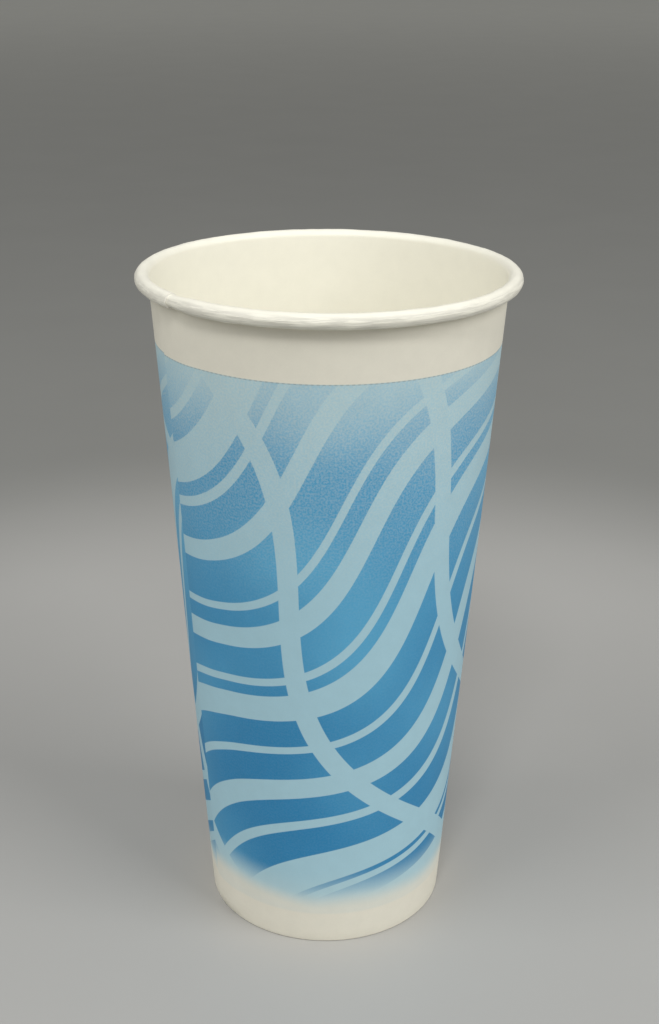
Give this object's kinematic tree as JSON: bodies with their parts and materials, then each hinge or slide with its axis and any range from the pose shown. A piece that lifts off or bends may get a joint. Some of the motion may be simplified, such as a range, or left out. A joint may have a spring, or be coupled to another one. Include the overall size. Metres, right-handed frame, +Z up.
{
  "type": "tapered paper cup",
  "caption": "Tall single-wall paper drinking cup: tapered wall with a lapped side seam, rolled rim, folded foot and recessed base.",
  "frame": {"origin": "centre of the foot ring, on the surface that the cup stands on", "axes": "+Z up along the cup's axis, towards the open rim; the side seam is on the -X side, turned a little towards -Y"},
  "size_m": [0.09, 0.09, 0.168],
  "materials": {
    "printed_paper": "matte",
    "plain_paper": "satin"
  },
  "bodies": {
    "root": {"cup_wall": "printed_paper", "cup_base": "plain_paper"}
  },
  "joints": []
}
